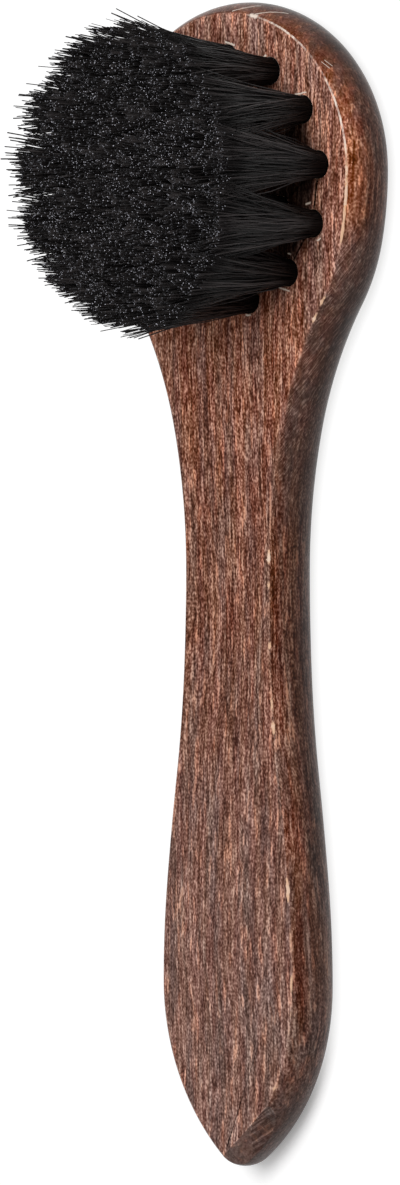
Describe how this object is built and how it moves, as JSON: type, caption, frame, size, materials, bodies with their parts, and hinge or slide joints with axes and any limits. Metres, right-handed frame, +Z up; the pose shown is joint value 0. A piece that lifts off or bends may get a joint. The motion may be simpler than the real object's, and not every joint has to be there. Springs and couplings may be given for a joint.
{
  "type": "shoe shine brush",
  "caption": "Hand brush for shoe polish: flat one-piece wooden handle with a round head, narrow waist and pointed tail, and upright dark hair tufts set in the head's face.",
  "frame": {"origin": "on the handle's flat back face, under the centre of the round head", "axes": "+Z up out of the front face, along the bristles; +X from the tail to the round head; the brush lies on its back"},
  "size_m": [0.165, 0.048, 0.0308],
  "materials": {
    "wood": "satin brown stain",
    "bristle": "natural black horsehair",
    "anchor_steel": "plain drawn wire"
  },
  "bodies": {
    "root": {"handle": "wood", "inner_tuft_01": "bristle", "inner_tuft_02": "bristle", "inner_tuft_03": "bristle", "middle_tuft_01": "bristle", "middle_tuft_02": "bristle", "middle_tuft_03": "bristle", "middle_tuft_04": "bristle", "middle_tuft_05": "bristle", "middle_tuft_06": "bristle", "middle_tuft_07": "bristle", "middle_tuft_08": "bristle", "outer_tuft_01": "bristle", "outer_tuft_02": "bristle", "outer_tuft_03": "bristle", "outer_tuft_04": "bristle", "outer_tuft_05": "bristle", "outer_tuft_06": "bristle", "outer_tuft_07": "bristle", "outer_tuft_08": "bristle", "outer_tuft_09": "bristle", "outer_tuft_10": "bristle", "outer_tuft_11": "bristle", "outer_tuft_12": "bristle", "outer_tuft_13": "bristle", "tuft_anchors": "anchor_steel"}
  },
  "joints": []
}
